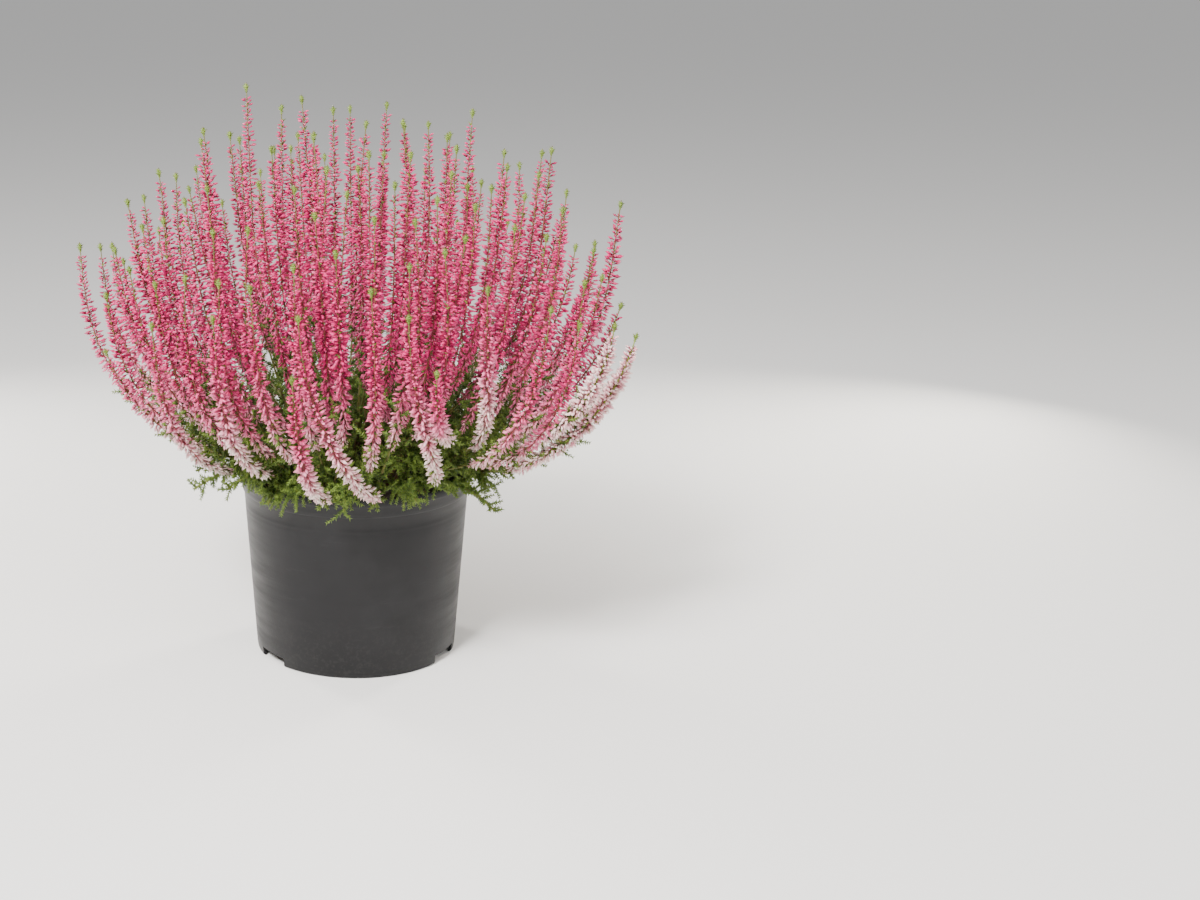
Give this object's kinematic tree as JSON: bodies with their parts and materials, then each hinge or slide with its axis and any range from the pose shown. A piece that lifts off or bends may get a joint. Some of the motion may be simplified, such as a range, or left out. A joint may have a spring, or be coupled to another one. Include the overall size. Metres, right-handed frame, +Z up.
{
  "type": "potted heather",
  "caption": "Heather plant in a tapered plastic nursery pot, its flowering sprays fanned out in a loose bush above the rim",
  "frame": {"origin": "on the floor under the middle of the pot and of the plant's box", "axes": "+Z up along the pot's axis, +X to the right and -Y to the viewer, seen from the front of the plant"},
  "size_m": [0.3243, 0.319, 0.3369],
  "materials": {
    "pot_plastic": "matte dark grey, scuffed",
    "soil_peat": "dark moist peat",
    "heather_flower": "soft matte petals",
    "heather_leaf": "matte scale leaves"
  },
  "bodies": {
    "root": {"pot": "pot_plastic", "soil": "soil_peat", "spray_01": "heather_flower", "spray_02": "heather_flower", "spray_03": "heather_flower", "spray_04": "heather_flower", "spray_05": "heather_flower", "spray_06": "heather_flower", "spray_07": "heather_flower", "spray_08": "heather_flower", "spray_09": "heather_flower", "spray_10": "heather_flower", "spray_11": "heather_flower", "spray_12": "heather_flower", "spray_13": "heather_flower", "spray_14": "heather_flower", "spray_15": "heather_flower", "spray_16": "heather_flower", "spray_17": "heather_flower", "spray_18": "heather_flower", "spray_19": "heather_flower", "spray_20": "heather_flower", "spray_21": "heather_flower", "spray_22": "heather_flower", "spray_23": "heather_flower", "spray_24": "heather_flower", "spray_25": "heather_flower", "spray_26": "heather_flower", "leafy_tuft_01": "heather_leaf", "leafy_tuft_02": "heather_leaf", "leafy_tuft_03": "heather_leaf", "leafy_tuft_04": "heather_leaf", "leafy_tuft_05": "heather_leaf", "leafy_tuft_06": "heather_leaf", "leafy_tuft_07": "heather_leaf", "leafy_tuft_08": "heather_leaf", "leafy_tuft_09": "heather_leaf", "leafy_tuft_10": "heather_leaf", "leafy_tuft_11": "heather_leaf", "leafy_tuft_12": "heather_leaf", "leafy_tuft_13": "heather_leaf", "leafy_tuft_14": "heather_leaf"}
  },
  "joints": []
}
